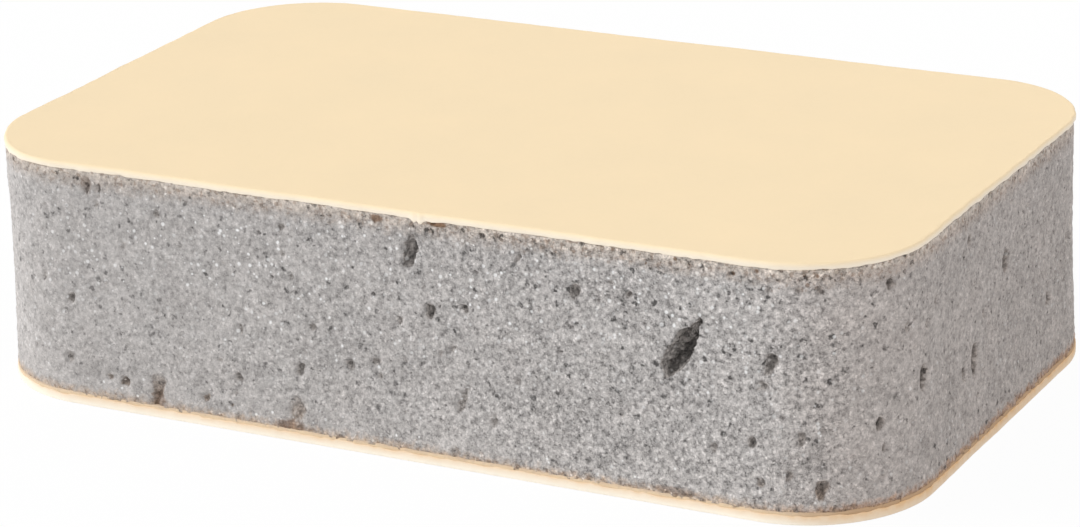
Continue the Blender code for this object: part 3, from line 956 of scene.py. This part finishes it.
def build_cloth(side, cut_colour, seed):
    """Upper or lower cloth facing: a wandering cut edge round a softly uneven face."""
    sizes = settings("sponge_cloth")
    shape = ClothShape(sizes, side, seed)
    inner, triangles = shape.face(sizes.mesh_step)
    points = np.concatenate([*shape.points, at_level(inner, shape.high)])
    lift = layered_noise(points, (CLOTH_SAG, 14 * MM, seed + 2), (0.02 * MM, 2.2 * MM, seed + 3))
    on_face = points[:, 2] > shape.high - 1e-9
    points[on_face, 2] += lift[on_face] - CLOTH_SAG
    hub = len(points)
    points = np.concatenate([points, [[0, 0, shape.low]]])
    first_of_last_ring = (shape.rows - 1) * shape.columns
    fans = np.concatenate([cap_fan(np.arange(shape.columns), hub, False), triangles + first_of_last_ring])
    quads = tube_quads(shape.rows, shape.columns)
    if side == "lower":
        points[:, 2] = shape.low + shape.high - points[:, 2]
        quads, fans = quads[:, ::-1], fans[:, ::-1]
    piece = mesh_object("wiping_cloth_" + side, points, quads, fans)
    rest = np.zeros(len(inner) + 1)
    set_attribute(piece, "cut_edge", np.concatenate([*shape.cut, rest]))
    set_attribute(piece, "glue", np.concatenate([*shape.glue, rest]))
    piece.data.materials.append(cloth_finish(f"cream_{side}_cloth", sizes, cut_colour))
    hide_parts(side + "_cloth")
    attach(piece, "root")


class SPONGE_OT_cloths(Operator):
    """Build both cloths, each with a soft cut edge"""

    bl_idname = "sponge.cloths"
    bl_label = "Wiping cloths"

    def execute(self, context):
        sizes = settings("sponge_cloth")
        build_cloth("upper", sizes.cut_colour, 60)
        build_cloth("lower", sizes.lower_cut_colour, 80)
        return {"FINISHED"}


def build_bond(name, bottom, top, set_back, finish, seed):
    """Adhesive between the foam and one cloth, uneven at its rim."""
    sizes = settings("sponge_bond")
    columns = round(OUTLINE.perimeter / BOND_STEP)
    core, outward = OUTLINE.points(columns)
    edge = at_level(core + outward * OUTLINE.radius, bottom)
    out = sizes.ooze * layered_noise(edge, (1.0, 1.4 * MM, seed), (0.6, 0.5 * MM, seed + 1))
    reach = OUTLINE.radius + OUTLINE.spread_at((bottom + top) / 2) - set_back + out
    rings = []
    for share, swell in zip(np.linspace(0, 1, len(BOND_BULGE)), BOND_BULGE):
        ring = core + outward * (reach + swell)[:, None]
        rings.append(at_level(ring, bottom + share * (top - bottom) + 2 * share * out))
    points = np.concatenate(rings + [[[0, 0, bottom], [0, 0, top]]])
    first = np.arange(columns)
    hub = len(rings) * columns
    fans = np.concatenate([cap_fan(first, hub, False), cap_fan(first + hub - columns, hub + 1, True)])
    piece = mesh_object(name, points, tube_quads(len(rings), columns), fans)
    thickness = np.clip(1.2 * outward[:, 0] + 0.3 * soft_noise(edge, 3 * MM, seed + 2), 0, 1)
    set_attribute(piece, "thickness", np.concatenate([np.tile(thickness, len(rings)), [0, 0]]))
    piece.data.materials.append(finish)
    return piece


class SPONGE_OT_bonds(Operator):
    """Build the adhesive that shows between the foam and each cloth"""

    bl_idname = "sponge.bonds"
    bl_label = "Bond lines"

    def execute(self, context):
        sizes = settings("sponge_bond")
        foot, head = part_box("lower_cloth")[1].z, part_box("lower_bond_film")[1].z
        shades = (sizes.colour, sizes.foam_colour, sizes.thick_colour)
        finish = bond_finish("amber_adhesive", (foot / MM, head / MM), *shades)
        levels = (foot - sizes.overlap, head - sizes.overlap)
        lower = build_bond("bond_line_lower", *levels, sizes.lower_set_back, finish, 120)
        foot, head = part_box("upper_bond_film")[0].z, upper_joint()
        # The upper adhesive is darkened as painted shade under the cloth's edge.
        shades = (sizes.upper_colour, sizes.upper_foam_colour, sizes.upper_foam_colour)
        finish = bond_finish("brown_adhesive", (head / MM, foot / MM), *shades)
        upper = build_bond("bond_line_upper", foot, head, sizes.upper_set_back, finish, 100)
        for piece, node in ((upper, "upper_bond_film"), (lower, "lower_bond_film")):
            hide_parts(node)
            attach(piece, "root")
        return {"FINISHED"}


def stage_material(sizes):
    """Pale floor that the camera sees as near white, with the sponge's shadow kept."""
    material = bpy.data.materials.new("pale_floor")
    floor = Nodes(material)
    floor.tree.nodes.remove(floor.tree.nodes["Principled BSDF"])
    diffuse = floor.node("ShaderNodeBsdfDiffuse")
    diffuse.inputs["Color"].default_value = (*sizes.floor_colour, 1.0)
    glow = floor.node("ShaderNodeEmission")
    glow.inputs["Strength"].default_value = 1.0
    seen = floor.node("ShaderNodeLightPath").outputs["Is Camera Ray"]
    blend = floor.node("ShaderNodeMixShader")
    share = floor.times(seen, 1 - sizes.shadow)
    for socket, source in zip(blend.inputs, (share, diffuse.outputs[0], glow.outputs[0])):
        floor.link(source, socket)
    floor.link(blend.outputs[0], floor.tree.nodes["Material Output"].inputs[0])
    return material


def stage_world(sizes):
    """White surroundings for the camera, and an even light for the sponge."""
    world = bpy.data.worlds.new("white_surroundings")
    sky = Nodes(world)
    back = sky.tree.nodes["Background"]
    back.inputs["Color"].default_value = (1, 1, 1, 1)
    path = sky.node("ShaderNodeLightPath")
    seen = path.outputs["Is Camera Ray"]
    for name in ("Is Glossy Ray", "Is Transmission Ray"):
        seen = sky.math("MAXIMUM", seen, path.outputs[name])
    sky.link(sky.ramp(seen, 0.0, 1.0, sizes.ambient, 1.0), back.inputs["Strength"])
    bpy.context.scene.world = world


def add_soft_light(name, strength, direction, softness):
    """Even, soft light from one direction."""
    light = bpy.data.lights.new(name, "SUN")
    light.energy = strength
    light.angle = softness
    lamp = bpy.data.objects.new(name, light)
    lamp.rotation_mode = "QUATERNION"
    lamp.rotation_quaternion = Vector(direction).to_track_quat("Z", "Y")
    bpy.context.scene.collection.objects.link(lamp)


def add_camera(sizes):
    """Camera at the photograph's angle."""
    camera = bpy.data.cameras.new("camera")
    camera.lens = sizes.lens
    camera.sensor_width = SENSOR_WIDTH
    camera.clip_start = 0.01
    camera.clip_end = 20.0
    eye = bpy.data.objects.new("camera", camera)
    eye.matrix_world = Matrix.Translation(sizes.place)
    for angle, axis in ((sizes.yaw, "Z"), (math.pi / 2 - sizes.pitch, "X"), (sizes.roll, "Z")):
        eye.matrix_world @= Matrix.Rotation(angle, 4, axis)
    bpy.context.scene.collection.objects.link(eye)
    bpy.context.scene.camera = eye


class SPONGE_OT_stage(Operator):
    """Set the floor, the light and the camera"""

    bl_idname = "sponge.stage"
    bl_label = "Stage"

    def execute(self, context):
        sizes = settings("sponge_stage")
        half = FLOOR_HALF
        points = [(-half, -half, 0), (half, -half, 0), (half, half, 0), (-half, half, 0)]
        floor = mesh_object("floor", points, [(0, 1, 2, 3)])
        floor.location.z = -FLOOR_GAP
        floor.data.materials.append(stage_material(sizes))
        stage_world(sizes)
        add_soft_light("key_light", sizes.key, sizes.key_direction, sizes.softness)
        add_soft_light("fill_light", sizes.fill, sizes.fill_direction, sizes.softness)
        add_camera(sizes)
        context.scene.view_settings.view_transform = "Standard"
        return {"FINISHED"}


class SPONGE_PT_panel(Panel):
    """Sizes, colours and building steps of the sponge"""

    bl_label = "Sponge"
    bl_idname = "SPONGE_PT_panel"
    bl_space_type = "VIEW_3D"
    bl_region_type = "UI"
    bl_category = "Sponge"

    def draw(self, context):
        for name, group, operator in STEPS:
            box = self.layout.box()
            for setting in group.__annotations__:
                box.prop(settings(name), setting)
            box.operator(operator.bl_idname)


# Name, settings and operator of each step, in order.
STEPS = (
    ("sponge_foam", FoamSettings, SPONGE_OT_foam),
    ("sponge_cloth", ClothSettings, SPONGE_OT_cloths),
    ("sponge_bond", BondSettings, SPONGE_OT_bonds),
    ("sponge_stage", StageSettings, SPONGE_OT_stage),
)
CLASSES = [item for step in STEPS for item in step[1:]] + [SPONGE_PT_panel]


def register():
    """Register the classes, and give every scene the sponge's settings."""
    for item in CLASSES:
        bpy.utils.register_class(item)
    for name, group, _ in STEPS:
        setattr(bpy.types.Scene, name, PointerProperty(type=group))


def unregister():
    """Take back what register did."""
    for name, _, _ in STEPS:
        delattr(bpy.types.Scene, name)
    for item in reversed(CLASSES):
        bpy.utils.unregister_class(item)


def main():
    """Build the sponge and its stage."""
    register()
    bpy.ops.sponge.foam()
    bpy.ops.sponge.cloths()
    bpy.ops.sponge.bonds()
    bpy.ops.sponge.stage()


if __name__ == "__main__":
    main()
